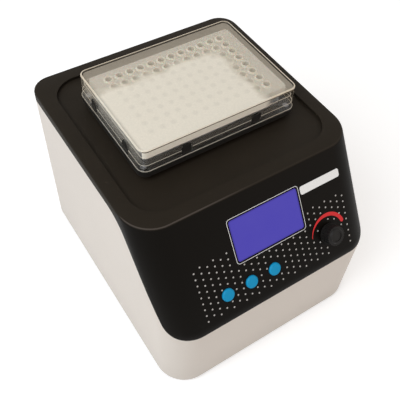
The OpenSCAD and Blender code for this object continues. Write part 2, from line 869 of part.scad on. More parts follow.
// A ball bearing, drawn as its two rings and the shield between them
module bearing(size) {
    color("silver") difference() {
        cylinder(d = size[0], h = size[2]);
        translate([0, 0, -1]) cylinder(d = size[1] + 2 * run_gap, h = size[2] + 2);
        for (z = [-1, size[2] - 0.4]) translate([0, 0, z])
            ring((size[0] * 3 + size[1]) / 4, (size[0] + 2 * size[1]) / 3, 1.4);
    }
}

module motor_bearing() { on_crank() translate([0, 0, pilot_top_z - big_bearing[2]]) bearing(big_bearing); }

// Places children at each idler's fixed axis
module at_idlers() { for (p = idler_spots) on_crank() translate([p[0], p[1], 0]) children(); }

module idler_bosses() {
    color([0.7, 0.72, 0.72]) at_idlers() difference() {
        translate([0, 0, chassis_top_z]) cylinder(d = boss_d, h = boss_top_z - chassis_top_z);
        translate([0, 0, chassis_top_z + 1]) cylinder(d = small_bearing[1] + 4, h = boss_h);
        translate([0, 0, boss_top_z - small_bearing[2] - seat]) cylinder(d = small_bearing[0], h = boss_h);
    }
}

module idler_lower_bearings() {
    at_idlers() translate([0, 0, boss_top_z - small_bearing[2] - seat]) bearing(small_bearing);
}

module motor_shaft() {
    z0 = chassis_z - motor_h + motor_end + 1;
    color("silver") on_crank() translate([0, 0, z0]) cylinder(d = big_bearing[1], h = hub_z + hub_bore - z0);
}

module eccentric_hub() {
    color([0.75, 0.75, 0.77]) on_crank() difference() {
        union() {
            translate([0, 0, hub_z]) cylinder(d = hub_d, h = hub_h);
            translate([orbit_r, 0, hub_z + hub_h])
                cylinder(d = big_bearing[1] + 4, h = platform_z - hub_z - hub_h + 0.2);
            translate([orbit_r, 0, hub_z + hub_h])
                cylinder(d = big_bearing[1], h = platform_top_z - seat - hub_z - hub_h);
        }
        translate([0, 0, hub_z - 1]) cylinder(d = big_bearing[1], h = hub_bore + 1);
        translate([0, 0, hub_z + hub_bore / 2]) rotate([0, 90, 0]) cylinder(d = set_screw_d, h = hub_d);
    }
}

module counterweight() {
    color("goldenrod") on_crank() translate([0, 0, hub_z + 2]) difference() {
        intersection() {
            cylinder(d = 2 * weight_r, h = weight_t);
            translate([-weight_r, -weight_r, 0]) cube([weight_r - weight_cut, 2 * weight_r, weight_t]);
        }
        translate([0, 0, -1]) cylinder(d = hub_d + 2 * run_gap, h = weight_t + 2);
        for (a = [140, 220]) rotate([0, 0, a]) translate([weight_hole_r, 0, -1])
            cylinder(d = weight_hole_d, h = weight_t + 2);
    }
}

module idler_crank(i) {
    z0 = boss_top_z - small_bearing[2] - seat;
    color([0.75, 0.75, 0.77]) on_crank() translate([idler_spots[i][0], idler_spots[i][1], 0]) {
        translate([0, 0, z0]) cylinder(d = small_bearing[1], h = idler_disc_z - z0);
        translate([0, 0, idler_disc_z]) cylinder(d = idler_disc_d, h = idler_disc_t);
        translate([orbit_r, 0, idler_disc_z + idler_disc_t])
            cylinder(d = small_bearing[1], h = platform_top_z - seat - idler_disc_z - idler_disc_t);
    }
}

// ---- Platform and heating stack ----

module platform_plate() {
    mid = (platform_back - platform_front) / 2;
    color([0.72, 0.74, 0.75]) on_plate() difference() {
        translate([0, mid, 0])
            rbox(platform_w, platform_front + platform_back, platform_r, platform_z, platform_top_z);
        translate([0, 0, platform_z - 1]) cylinder(d = big_bearing[1] + 7, h = platform_t + 2);
        translate([0, 0, platform_top_z - big_bearing[2] - seat])
            cylinder(d = big_bearing[0], h = platform_t);
        for (p = idler_spots) translate([p[0], p[1], 0]) {
            translate([0, 0, platform_z - 1]) cylinder(d = small_bearing[1] + 6, h = platform_t + 2);
            translate([0, 0, platform_top_z - small_bearing[2] - seat])
                cylinder(d = small_bearing[0], h = platform_t);
        }
    }
}

module platform_bearing() {
    on_plate() translate([0, 0, platform_top_z - big_bearing[2] - seat]) bearing(big_bearing);
}

module idler_upper_bearings() {
    on_plate() for (p = idler_spots) translate([p[0], p[1], platform_top_z - small_bearing[2] - seat])
        bearing(small_bearing);
}

module pedestal() {
    inner_w = pedestal_w - 2 * pedestal_t;
    inner_d = pedestal_d - 2 * pedestal_t;
    color([0.85, 0.83, 0.78]) on_plate() difference() {
        union() {
            rbox(pedestal_w, pedestal_d, pedestal_r, platform_top_z, pedestal_top_z);
            rbox(flange_w, flange_d, lid_r, flange_z, pedestal_top_z);
        }
        rbox(inner_w, inner_d, bore_r, heater_z, pedestal_top_z + 1);
        rbox(inner_w - 2 * ledge_w, inner_d - 2 * ledge_w, bore_r,
            heater_z - ledge_t - 1, pedestal_top_z + 1);
        rbox(inner_w, inner_d, bore_r, platform_top_z - 1, heater_z - ledge_t);
        for (x = [-1, 1], y = [-1, 1]) translate([x * tray_screw_x, y * tray_screw_y, flange_z - 1])
            cylinder(d = tray_screw_d + 0.1, h = flange_t + 2);
    }
}

module heater_plate() {
    color("silver") on_plate() difference() {
        rbox(pedestal_w - 2 * pedestal_t - gap, pedestal_d - 2 * pedestal_t - gap, bore_r,
            heater_z, pedestal_top_z);
        translate([0, 0, heater_z + heater_t / 2]) rotate([90, 0, 0]) translate([0, 0, -pedestal_d / 2])
            cylinder(d = sensor_d + 0.1, h = sensor_l);
    }
}

module heater_mat() {
    color([0.75, 0.35, 0.15]) on_plate()
        rbox(pedestal_w - 2 * pedestal_t - 2 * ledge_w - 2, pedestal_d - 2 * pedestal_t - 2 * ledge_w - 2, 2,
            heater_z - mat_t, heater_z);
}

module temperature_sensor() {
    start = pedestal_d / 2 - pedestal_t - 1;
    color("silver") on_plate() translate([0, start, heater_z + heater_t / 2]) rotate([90, 0, 0])
        cylinder(d = sensor_d, h = sensor_l - pedestal_t - 2);
}

// Outer cone of a well, grown by g and measured down from the plate's rims
module well_cone(g = 0) {
    translate([0, 0, rim_top_z - well_l])
        cylinder(d1 = tip_d + 2 * (well_t + g), d2 = well_d + 2 * (well_t + g), h = well_l);
}

module heating_block() {
    color([0.68, 0.69, 0.7]) on_plate() difference() {
        rbox(block_w, block_d, bore_r, block_z, block_top_z);
        at_wells() well_cone(bore_gap);
    }
}

module tab(x, y, turn) {
    translate([x, y, 0]) rotate([0, 0, turn])
        translate([-tab_w / 2, -tab_t - 0.1, tray_top_z - 1])
            cube([tab_w, tab_t, tab_top_z - tray_top_z + 1]);
}

module at_tabs() {
    for (s = [-1, 1], side = [-1, 1]) {
        translate([s * tab_spots_x, side * lid_d / 2, 0]) rotate([0, 0, side > 0 ? 0 : 180]) children();
        translate([side * lid_w / 2, s * tab_spots_y, 0]) rotate([0, 0, side > 0 ? -90 : 90]) children();
    }
}

module carrier_tray() {
    color([0.1, 0.1, 0.1]) on_plate() difference() {
        union() {
            rbox(lid_w + 2 * frame_rim_w, lid_d + 2 * frame_rim_w, lid_r + frame_rim_w,
                pedestal_top_z, tray_top_z);
            at_tabs() tab(0, 0, 0);
        }
        rbox(block_w + 2 * tray_gap, block_d + 2 * tray_gap, bore_r, pedestal_top_z - 1, tray_top_z + 1);
        for (x = [-1, 1], y = [-1, 1]) translate([x * tray_screw_x, y * tray_screw_y, 0]) {
            translate([0, 0, pedestal_top_z - 1]) cylinder(d = tray_screw_d + 0.7, h = tray_t + 2);
            translate([0, 0, tray_top_z - tray_head_h]) cylinder(d = tray_head_d + 0.2, h = tray_head_h + 1);
        }
    }
}

module carrier_screws() {
    color("dimgray") on_plate() for (x = [-1, 1], y = [-1, 1])
        translate([x * tray_screw_x, y * tray_screw_y, 0]) {
            translate([0, 0, tray_top_z - tray_head_h]) cylinder(d = tray_head_d, h = tray_head_h - 0.1);
            translate([0, 0, flange_z + 0.5])
                cylinder(d = tray_screw_d, h = tray_top_z - tray_head_h - flange_z - 0.5);
        }
}

// Slots beside each tab, through a wall of thickness t measured from the lid's face
module tab_slots(t, z0, z1, out = 0) {
    at_tabs() translate([-tab_w / 2 - tab_gap, -t, z0]) cube([tab_w + 2 * tab_gap, t + out, z1 - z0]);
}

module plate_frame() {
    lip_w = lid_w - 2 * lid_t - 2 * gap;
    lip_d = lid_d - 2 * lid_t - 2 * gap;
    color([0.85, 0.87, 0.88, 0.4]) on_plate() difference() {
        union() {
            rbox(lid_w + 2 * frame_rim_w, lid_d + 2 * frame_rim_w, lid_r + frame_rim_w, tray_top_z,
                tray_top_z + frame_rim_h);
            rbox(lid_w, lid_d, lid_r, tray_top_z, lid_z - gap);
            rbox(lip_w, lip_d, lid_r - lid_t - gap, tray_top_z, lid_z + lid_lip_h);
        }
        rbox(lip_w - 2 * lid_lip_t, lip_d - 2 * lid_lip_t, lid_r - lid_t - gap - lid_lip_t,
            tray_top_z - 1, lid_top_z);
        tab_slots(lid_t + gap - 0.05, tray_top_z - 1, lid_z + 1, 0.1);
    }
}

// ---- Plate and lid ----

module well_plate() {
    color([0.93, 0.92, 0.88]) on_plate() difference() {
        union() {
            difference() {
                rbox(plate_w, plate_d, plate_r, plate_deck_z - plate_skirt_h, plate_top_z);
                rbox(plate_w - 2 * plate_skirt_t, plate_d - 2 * plate_skirt_t, plate_r - plate_skirt_t,
                    plate_deck_z - plate_skirt_h - 1, plate_deck_z);
            }
            at_wells() well_cone();
        }
        at_wells() translate([0, 0, rim_top_z - well_l + tip_t])
            cylinder(d1 = tip_d, d2 = well_d, h = well_l - tip_t + eps);
    }
}

module clear_lid() {
    color([0.9, 0.92, 0.93, 0.35]) on_plate() difference() {
        union() {
            rbox(lid_w, lid_d, lid_r, lid_z, lid_top_z - lid_edge);
            rbox(lid_w - 2 * lid_edge, lid_d - 2 * lid_edge, lid_r - lid_edge, lid_z, lid_top_z);
        }
        rbox(lid_w - 2 * lid_t, lid_d - 2 * lid_t, lid_r - lid_t, lid_z - 1, lid_top_z - lid_t);
        tab_slots(lid_t + 1, lid_z - 1, tab_arch_z + 0.5, 1);
        at_tabs() translate([0, 1, tab_arch_z]) rotate([90, 0, 0]) cylinder(r = tab_arch_r, h = lid_t + 2);
    }
}

// ---- Rear fittings and boards ----

module power_inlet() {
    w = socket_w / 2;
    h = socket_h / 2;
    cut = 5;
    color([0.12, 0.12, 0.12]) on_rear(inlet_x, inlet_z) difference() {
        union() {
            linear_extrude(inlet_flange_t) rrect(inlet_flange_w, inlet_h + 4, 4);
            translate([0, 0, -inlet_depth]) linear_extrude(inlet_depth) rrect(inlet_w, inlet_h, 1.5);
        }
        translate([0, socket_z, inlet_flange_t - socket_depth]) linear_extrude(socket_depth + 1)
            polygon([[-w, -h], [w, -h], [w, h - cut], [w - cut, h], [cut - w, h], [-w, h - cut]]);
        translate([0, drawer_z, -inlet_depth + 4]) linear_extrude(inlet_depth)
            square([socket_w - 2 + 2 * gap, drawer_h + 2 * gap], center = true);
        for (x = [-1, 1]) translate([x * inlet_screw_pitch / 2, 0, 0]) {
            translate([0, 0, -1]) cylinder(d = inlet_screw_d + 0.2, h = inlet_flange_t + 2);
            translate([0, 0, inlet_flange_t - inlet_head_h - 0.1])
                cylinder(d1 = inlet_screw_d + 0.2, d2 = inlet_head_d + 0.4, h = inlet_head_h + 0.11);
        }
    }
}

module inlet_pins() {
    color("goldenrod") on_rear(inlet_x, inlet_z) for (p = [[-1, -1], [0, 1], [1, -1]])
        translate([p[0] * pin_pitch, socket_z + p[1] * pin_offset, inlet_flange_t - socket_depth])
            linear_extrude(pin_l) square([pin_t, pin_w], center = true);
}

module inlet_screws() {
    color("silver") on_rear(inlet_x, inlet_z) for (x = [-1, 1]) translate([x * inlet_screw_pitch / 2, 0, 0]) {
        translate([0, 0, inlet_flange_t - inlet_head_h])
            cylinder(d1 = inlet_screw_d, d2 = inlet_head_d, h = inlet_head_h);
        cylinder(d = inlet_screw_d, h = inlet_flange_t - inlet_head_h);
    }
}

module fuse_drawer() {
    color([0.16, 0.16, 0.16]) on_rear(inlet_x, inlet_z) translate([0, drawer_z, 0]) {
        translate([0, 0, -inlet_depth + 4 + gap]) linear_extrude(inlet_depth - 4 - gap + inlet_flange_t + 0.6)
            square([socket_w - 2, drawer_h], center = true);
        translate([0, grip_h - drawer_h / 2, inlet_flange_t]) linear_extrude(grip_h)
            square([grip_w, grip_h], center = true);
    }
}

module switch_frame() {
    color([0.1, 0.1, 0.1]) on_rear(switch_x, inlet_z) difference() {
        union() {
            linear_extrude(bezel_t) rrect(bezel_w, bezel_h, bezel_rim);
            translate([0, 0, -switch_depth]) linear_extrude(switch_depth)
                square([bezel_w - 2 * bezel_rim, bezel_h - 2 * bezel_rim], center = true);
        }
        translate([0, 0, -10]) linear_extrude(20) square([rocker_w + 2 * gap, rocker_hole_h], center = true);
    }
}

module power_rocker() {
    h = rocker_h / 2;
    top = rocker_pivot + rocker_out;
    color([0.15, 0.15, 0.15]) on_rear(switch_x, inlet_z) translate([0, 0, -rocker_pivot + bezel_t])
        rotate([rocker_throw / 2, 0, 0]) rotate([90, 0, 90]) translate([0, 0, -rocker_w / 2]) {
            linear_extrude(rocker_w)
                polygon([[-h, top], [0.8 - h, top + 0.4], [0, top - 1.6], [h - 0.8, top + 0.4], [h, top],
                    [h - 0.6, 0], [0.6 - h, 0]]);
            cylinder(d = rocker_barrel_d, h = rocker_w);
        }
}

module power_board() {
    color([0.1, 0.3, 0.15]) translate([0, power_board_y, power_board_z]) linear_extrude(board_t)
        square([power_board_w, power_board_d], center = true);
}

module board_standoffs() {
    color("goldenrod") for (x = [-1, 1], y = [-1, 1])
        translate([x * (power_board_w / 2 - standoff_inset),
            power_board_y + y * (power_board_d / 2 - standoff_inset), base_top_z])
                cylinder(d = standoff_d, h = power_board_z - base_top_z, $fn = 6);
}

module transformer() {
    foot = 5;
    color([0.85, 0.7, 0.2]) translate([transformer_x, power_board_y + 2 * capacitor_y, power_board_top_z]) {
        linear_extrude(transformer_h)
            square([transformer_w - 2 * transformer_lam, transformer_d], center = true);
        translate([0, 0, foot]) linear_extrude(transformer_h - 2 * foot)
            square([transformer_w, transformer_d - 2 * foot], center = true);
    }
}

module capacitors() {
    color([0.1, 0.15, 0.35]) for (x = [-10, 10], y = [-12, 12])
        translate([capacitor_x + x, power_board_y + capacitor_y + y, power_board_top_z])
            cylinder(d = capacitor_d, h = capacitor_h);
}

lower_housing();
top_cover();
base_plate();
rubber_feet();
case_screws();
display_window();
display_module();
control_board();
board_screws();
switch_bodies();
rotary_encoder();
encoder_nut();
badge_plate();
push_button(0);  // left_button
push_button(1);  // middle_button
push_button(2);  // right_button
plunger(0);  // left_plunger
plunger(1);  // middle_plunger
plunger(2);  // right_plunger
encoder_shaft();
control_knob();
chassis_plate();
chassis_posts();
chassis_screws();
motor();
motor_screws();
motor_bearing();
idler_bosses();
idler_lower_bearings();
power_board();
board_standoffs();
transformer();
capacitors();
power_inlet();
inlet_pins();
inlet_screws();
fuse_drawer();
switch_frame();
power_rocker();
motor_shaft();
eccentric_hub();
counterweight();
idler_crank(0);  // idler_crank_left
idler_crank(1);  // idler_crank_right
idler_crank(2);  // idler_crank_back
platform_plate();
platform_bearing();
idler_upper_bearings();
pedestal();
heater_plate();
heater_mat();
temperature_sensor();
heating_block();
carrier_tray();
carrier_screws();
plate_frame();
well_plate();
clear_lid();
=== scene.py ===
"""Dry block heater: finishes, printed marks, lid film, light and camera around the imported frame."""
import json
import math

import bmesh
import bpy
import numpy as np
from mathutils import Matrix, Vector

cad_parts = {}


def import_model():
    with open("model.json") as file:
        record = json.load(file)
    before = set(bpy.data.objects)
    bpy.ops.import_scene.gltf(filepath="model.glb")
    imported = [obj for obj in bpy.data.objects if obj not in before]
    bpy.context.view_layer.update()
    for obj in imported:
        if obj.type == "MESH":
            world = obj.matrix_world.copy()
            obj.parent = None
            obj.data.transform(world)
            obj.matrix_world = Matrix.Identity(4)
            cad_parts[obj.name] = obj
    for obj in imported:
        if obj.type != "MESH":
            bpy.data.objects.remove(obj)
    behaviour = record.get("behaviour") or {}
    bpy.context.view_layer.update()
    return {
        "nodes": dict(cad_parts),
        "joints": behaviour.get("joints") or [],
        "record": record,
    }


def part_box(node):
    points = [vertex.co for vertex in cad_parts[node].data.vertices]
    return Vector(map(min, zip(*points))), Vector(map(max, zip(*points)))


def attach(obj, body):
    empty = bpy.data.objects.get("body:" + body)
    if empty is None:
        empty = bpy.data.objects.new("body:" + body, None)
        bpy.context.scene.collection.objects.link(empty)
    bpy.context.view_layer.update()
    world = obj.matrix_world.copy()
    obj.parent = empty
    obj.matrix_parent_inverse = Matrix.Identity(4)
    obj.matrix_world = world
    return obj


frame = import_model()

# ---- Sizes in metres, from the frame and a few values of the design ----

MM = 0.001
SLOT_OF = {row["node"]: row["material_slot"] for row in frame["record"]["subparts"]}
JOINT = {joint["name"]: joint for joint in frame["joints"]}

# The panel: its own directions, and the middle of the crease as its zero
KNOB_SPOT = np.array([52, 65.4]) * MM     # across the panel and down its slope from the crease
KNOB_PIVOT_LIFT = 5 * MM
PANEL_OUT = np.array(JOINT["knob_turn"]["axis"])
ACROSS = np.array([1.0, 0.0, 0.0])
DOWN = np.cross(ACROSS, PANEL_OUT)
CREASE = (np.array(JOINT["knob_turn"]["pos_m"]) - KNOB_PIVOT_LIFT * PANEL_OUT
          - KNOB_SPOT[0] * ACROSS - KNOB_SPOT[1] * DOWN)
CORNER_R = 25 * MM                        # plan radius of the front corners
HALF_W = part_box("lower_housing")[1][0]
FRONT_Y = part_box("lower_housing")[0][1]
DECK_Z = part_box("top_cover")[1][2]
CREASE_LOW = DECK_Z - 0.5 * MM            # the crease's rounding, from the slope up to the deck
CREASE_HIGH = DECK_Z - 0.12 * MM

# Printed marks and fittings on the panel, in its own directions
INK = 0.06 * MM                           # how far a print stands off the skin
DOT_R = 0.68 * MM
DOT_SIDES = 12
DOT_PITCH = np.array([5.63, 5.07]) * MM
DOT_FIRST = np.array([-64.15, 41.4]) * MM
DOT_STAGGER = 2.5 * MM
DOT_COLUMNS = 25
DOT_ROWS = 9
BARE_PATCH = np.array([[50, 75], [68, 85]]) * MM
FROM_DISPLAY = 2.4 * MM                   # a dot's middle stays so far from the display's edge,
FROM_BUTTON = 6.6 * MM                    # from a button's middle,
FROM_KNOB = 9.8 * MM                      # from the knob's axis
FROM_ARC = 2 * MM                         # and from the arc's middle line,
ARC_TURN = 0.1                            # where the gap is turned on by so many radians
BUTTON_SPOTS = np.array([[-43.7, 70], [-22.7, 70], [-1.7, 70]]) * MM
DISPLAY_SPOT = np.array([1.7, 34.1]) * MM
DISPLAY_SIZE = np.array([60.5, 33.5]) * MM
PIXEL = 0.45 * MM
OUTLINE_GAP = 1.3 * MM
OUTLINE_W = 0.36 * MM
OUTLINE_R = 2.6 * MM
ARC_R = 15.4 * MM
ARC_FROM, ARC_TO = math.radians(186), math.radians(348)
ARC_W = 3 * MM
ARC_THIN = 0.2                            # its first width, as a share of ARC_W
ARC_GROWTH = 0.62                         # and the share of its length over which it swells

# Lid, the frame below it, and the plate
LID_LOW, LID_HIGH = (np.array(corner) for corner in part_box("clear_lid"))
LID_MIDDLE = (LID_LOW + LID_HIGH) / 2
LID_HALF = (LID_HIGH - LID_LOW) / 2
LID_R = 6 * MM
LID_WALL = 1.5 * MM
LIP_TOP = LID_LOW[2] + 6 * MM             # top of the frame's lip inside the lid
RIM_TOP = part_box("plate_frame")[0][2] + 1.2 * MM
FILM_THIN, FILM_DENSE = 0.33, 0.87        # the share of what lies below that the lid's film hides
FILM_DROP = 7.2 * MM                      # how far the film reaches down the front wall
PLATE_MIDDLE = np.mean(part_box("well_plate"), axis=0)
WELL_PITCH = 9 * MM
WELL_R = 2.75 * MM
WELLS = (12, 8)

# Meshes and floor
MERGE_WITHIN = 0.002 * MM
WELD_WITHIN = 0.001 * MM
SMOOTH_UNDER = math.radians(28)
FLOOR_HALF = 6.0


# ---- Meshes ----

def surface(name, points, body, material, wrap=(False, False)):
    """A piece on a grid of points, shaped (..., rows, columns, 3), that rides on a body. Each leading
    index is a surface of its own, and wrap joins the last row or column to the first. Coincident
    points are merged, which closes poles, and faces are turned outwards."""
    rows, columns = points.shape[-3:-1]
    cells = rows - (not wrap[0]), columns - (not wrap[1])
    i, j = (index.ravel() for index in np.indices(cells))
    k, l = (i + 1) % rows, (j + 1) % columns
    quads = np.stack([i * columns + j, i * columns + l, k * columns + l, k * columns + j], axis=1)
    count = points.size // (3 * rows * columns)
    quads = (quads[None] + np.arange(count)[:, None, None] * rows * columns).reshape(-1, 4)
    mesh = bpy.data.meshes.new(name)
    mesh.from_pydata(points.reshape(-1, 3).tolist(), [], quads.tolist())
    clean = bmesh.new()
    clean.from_mesh(mesh)
    bmesh.ops.remove_doubles(clean, verts=clean.verts, dist=MERGE_WITHIN)
    bmesh.ops.recalc_face_normals(clean, faces=clean.faces)
    clean.to_mesh(mesh)
    clean.free()
    mesh.materials.append(material)
    piece = bpy.data.objects.new(name, mesh)
    bpy.context.scene.collection.objects.link(piece)
    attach(piece, body)
    return piece


def skin(across, down):
    """The panel's skin: a plane that falls down from the crease, and past the flat an arc of radius
    CORNER_R in plan, y = R - sqrt(R^2 - past^2)."""
    past = np.clip(np.abs(across) - (HALF_W - CORNER_R), 0, 0.999 * CORNER_R)
    point = CREASE + down[..., None] * DOWN + across[..., None] * ACROSS
    point[..., 1] += CORNER_R - np.sqrt(CORNER_R ** 2 - past ** 2)
    return point


def on_skin(across, down, lift):
    """The skin's point at (across, down), moved out by lift along the cross product of the skin's two
    slopes there."""
    across, down, lift = np.broadcast_arrays(across, down, lift)
    step = 0.01 * MM
    along = skin(across + step, down) - skin(across - step, down)
    up = skin(across, down - step) - skin(across, down + step)
    out = np.cross(along, up)
    out /= np.linalg.norm(out, axis=-1, keepdims=True)
    return skin(across, down) + lift[..., None] * out


# ---- Materials ----

class Value:
    """One output socket of a material's tree. Arithmetic on it adds Math nodes."""

    def __init__(self, graph, socket):
        self.graph = graph
        self.socket = socket

    def __abs__(self):
        return self.graph.math("ABSOLUTE", self)


OPERATORS = {"add": "ADD", "sub": "SUBTRACT", "mul": "MULTIPLY", "truediv": "DIVIDE", "pow": "POWER"}
for method, operation in OPERATORS.items():
    setattr(Value, f"__{method}__", lambda a, b, op=operation: a.graph.math(op, a, b))
    setattr(Value, f"__r{method}__", lambda a, b, op=operation: a.graph.math(op, b, a))


class Graph:
    """A material with one Principled shader and the nodes that feed it."""

    def __init__(self, name, **constants):
        self.material = bpy.data.materials.new(name)
        self.material.use_nodes = True
        self.tree = self.material.node_tree
        self.tree.nodes.clear()
        self.shader = self.tree.nodes.new("ShaderNodeBsdfPrincipled")
        output = self.tree.nodes.new("ShaderNodeOutputMaterial")
        self.tree.links.new(self.shader.outputs[0], output.inputs["Surface"])
        for socket, value in constants.items():
            self.feed(self.shader.inputs[socket.replace("_", " ")], value)

    def feed(self, socket, value):
        """Links a Value into a socket, or sets a number or colour on it."""
        if isinstance(value, Value):
            self.tree.links.new(value.socket, socket)
        elif socket.type == "RGBA":
            socket.default_value = (*value[:3], 1.0)
        else:
            socket.default_value = value

    def add(self, kind, settings=None, inputs=None, output=0):
        """A node of that type: its settings first, then its inputs, and one output as a Value."""
        node = self.tree.nodes.new(kind)
        for name, value in (settings or {}).items():
            setattr(node, name, value)
        for name, value in (inputs or {}).items():
            self.feed(node.inputs[name], value)
        return Value(self, node.outputs[output])

    def math(self, operation, *values):
        """A Math node on numbers or Values."""
        return self.add("ShaderNodeMath", {"operation": operation}, dict(enumerate(values)))

    def place(self):
        """Object coordinates, whole and as x, y and z."""
        whole = self.add("ShaderNodeTexCoord", output="Object")
        return whole, [self.add("ShaderNodeSeparateXYZ", inputs={0: whole}, output=i) for i in range(3)]

    def stretched(self, scale):
        """Object coordinates stretched by a factor along each axis."""
        whole = self.add("ShaderNodeTexCoord", output="Object")
        return self.add("ShaderNodeMapping", inputs={"Vector": whole, "Scale": scale})

    def noise(self, per_metre, detail=3.0, roughness=0.5, vector=None):
        """Noise from 0 to 1 with that many swells to the metre."""
        vector = vector or self.add("ShaderNodeTexCoord", output="Object")
        inputs = {"Vector": vector, "Scale": per_metre, "Detail": detail, "Roughness": roughness}
        return self.add("ShaderNodeTexNoise", inputs=inputs)

    def between(self, value, low, high, to_low=0.0, to_high=1.0):
        """A smooth step of value from low to high, mapped to to_low and to_high."""
        inputs = {0: value, 1: low, 2: high, 3: to_low, 4: to_high}
        return self.add("ShaderNodeMapRange", {"interpolation_type": "SMOOTHSTEP"}, inputs)

    def above(self, value, edge, turned=False):
        """1 where value is over the edge and 0 below it, or the other way round."""
        return self.math("LESS_THAN" if turned else "GREATER_THAN", value, edge)

    def inside(self, value, low, high):
        """1 where value lies between low and high."""
        return self.above(value, low) * self.above(value, high, turned=True)

    def most(self, *values):
        """The largest of several values."""
        largest = values[0]
        for value in values[1:]:
            largest = self.math("MAXIMUM", largest, value)
        return largest

    def mix(self, factor, first, second):
        """A colour from first at factor 0 to second at 1."""
        settings = {"data_type": "RGBA"}
        return self.add("ShaderNodeMix", settings, {0: factor, 6: first, 7: second}, output=2)

    def from_wells(self, x, y):
        """The way to the nearest well's axis, from two zigzags of the pitch, and a mask that is 1 over
        the field of wells."""
        half = WELL_PITCH / 2
        way_x = self.math("PINGPONG", x - float(PLATE_MIDDLE[0] + half), half)
        way_y = self.math("PINGPONG", y - float(PLATE_MIDDLE[1] + half), half)
        in_x = self.above(abs(x - float(PLATE_MIDDLE[0])), WELLS[0] * half, turned=True)
        in_y = self.above(abs(y - float(PLATE_MIDDLE[1])), WELLS[1] * half, turned=True)
        return self.math("SQRT", way_x * way_x + way_y * way_y), in_x * in_y

    def bump(self, height, distance, strength=1.0):
        """Relief of that distance in metres on the shader's normal."""
        inputs = {"Height": height, "Distance": distance, "Strength": strength}
        self.feed(self.shader.inputs["Normal"], self.add("ShaderNodeBump", inputs=inputs))

    def set(self, **sockets):
        """Feeds the shader's sockets, named with underscores for spaces."""
        for socket, value in sockets.items():
            self.feed(self.shader.inputs[socket.replace("_", " ")], value)


def shade(colour, factor):
    """A colour made lighter or darker."""
    return tuple(channel * factor for channel in colour)


def moulded(name, colour, roughness, grain_per_metre=2600, relief=0.02 * MM, variation=0.04,
            **constants):
    """Moulded plastic: a fine spark-eroded grain, and a faint cloudiness of colour and gloss."""
    graph = Graph(name, **constants)
    cloud = graph.noise(28, detail=4)
    grain = graph.noise(grain_per_metre, detail=2, roughness=0.6)
    graph.set(Base_Color=graph.mix(cloud, shade(colour, 1 - variation), shade(colour, 1 + variation)),
              Roughness=graph.between(grain, 0.3, 0.7, roughness - 0.06, roughness + 0.06))
    graph.bump(grain, relief)
    return graph.material


def housing_white():
    """Warm white housing, a little darker towards the bench: painted shade near the floor."""
    colour = (0.680, 0.616, 0.552)
    graph = Graph("housing_white")
    _, (_, _, z) = graph.place()
    # Painted shade: the colour darkens towards the bench under a wandering edge; clean is the unshaded
    # colour above it
    height = graph.between(z + graph.noise(35) * (20 * MM), 6 * MM, 50 * MM)
    cloud = graph.noise(22, detail=5)
    clean = graph.mix(cloud, shade(colour, 0.975), shade(colour, 1.02))
    grain = graph.noise(2300, detail=2, roughness=0.6)
    graph.set(Base_Color=graph.mix(height, shade(colour, 0.93), clean),
              Roughness=graph.between(grain, 0.3, 0.7, 0.40, 0.52))
    graph.bump(grain, 0.03 * MM)
    return graph.material


def cover_black():
    """Warm black cover with a leathery moulded grain: darker and smoother on the sloped front, all
    round the corners too, and a painted highlight, a little paler, along the left half of the crease."""
    colour = (0.0195, 0.0150, 0.0103)
    graph = Graph("cover_black", Specular_IOR_Level=0.07)
    _, (x, y, z) = graph.place()
    past = graph.math("MAXIMUM", abs(x) - float(HALF_W - CORNER_R), 0.0)
    bulge = graph.math("SQRT", graph.math("MAXIMUM", CORNER_R ** 2 - past * past, 0.0))
    behind = y - float(CREASE[1] + CORNER_R) + bulge          # how far behind the crease, in plan
    in_front = graph.between(behind, 2 * MM, 6 * MM, 1.0, 0.0)
    slope = in_front * graph.between(z, CREASE_LOW - 0.6 * MM, CREASE_LOW, 1.0, 0.0)
    crease = in_front * graph.inside(z, CREASE_LOW, CREASE_HIGH)
    # Painted highlight: a paler line on the crease's rounding, strongest at the left, stands in for the
    # light the edge catches
    painted_crease_highlight = crease * graph.between(x, -50 * MM, 5 * MM, 0.7, 0.1)
    cloud = graph.noise(45, detail=5)
    deck_colour = graph.mix(cloud, shade(colour, 0.86), shade(colour, 1.14))
    grain = graph.noise(1500, detail=3, roughness=0.62)
    even = graph.mix(slope, deck_colour, shade(colour, 0.20))
    # The pale colour here is the painted crease highlight
    graph.set(Base_Color=graph.mix(painted_crease_highlight, even, (0.085, 0.070, 0.060)),
              Roughness=graph.between(grain, 0.3, 0.7, 0.47, 0.6) - slope * 0.08)
    graph.bump(grain * (1.1 - slope * 0.6), 0.07 * MM)
    return graph.material


def foot_rubber():
    return moulded("foot_rubber", (0.022, 0.022, 0.022), 0.72, 1800, 0.03 * MM, 0.12)


def metal(name, colour, roughness, stretch=(40, 1600, 1600), relief=0.006 * MM, **constants):
    """Metal with fine parallel marks from its working: noise stretched along one axis."""
    graph = Graph(name, Metallic=1.0, **constants)
    marks = graph.noise(1.0, detail=4, vector=graph.stretched(stretch))
    cloud = graph.noise(60, detail=3)
    graph.set(Base_Color=graph.mix(cloud, shade(colour, 0.93), shade(colour, 1.05)),
              Roughness=graph.between(marks, 0.25, 0.75, roughness - 0.08, roughness + 0.1))
    graph.bump(marks, relief)
    return graph.material


def sheet_steel():
    return metal("sheet_steel", (0.62, 0.63, 0.64), 0.34, (30, 900, 900))


def screw_steel():
    return metal("screw_steel", (0.22, 0.22, 0.225), 0.36, (900, 900, 90))


def encoder_steel():
    return metal("encoder_steel", (0.60, 0.60, 0.60), 0.3, (900, 900, 60))


def shaft_steel():
    return metal("shaft_steel", (0.58, 0.58, 0.59), 0.24, (60, 60, 2600))


def bearing_steel():
    return metal("bearing_steel", (0.68, 0.68, 0.69), 0.16, (60, 60, 3000), 0.003 * MM)


def brass():
    return metal("brass", (0.70, 0.52, 0.22), 0.28, (60, 60, 1800))


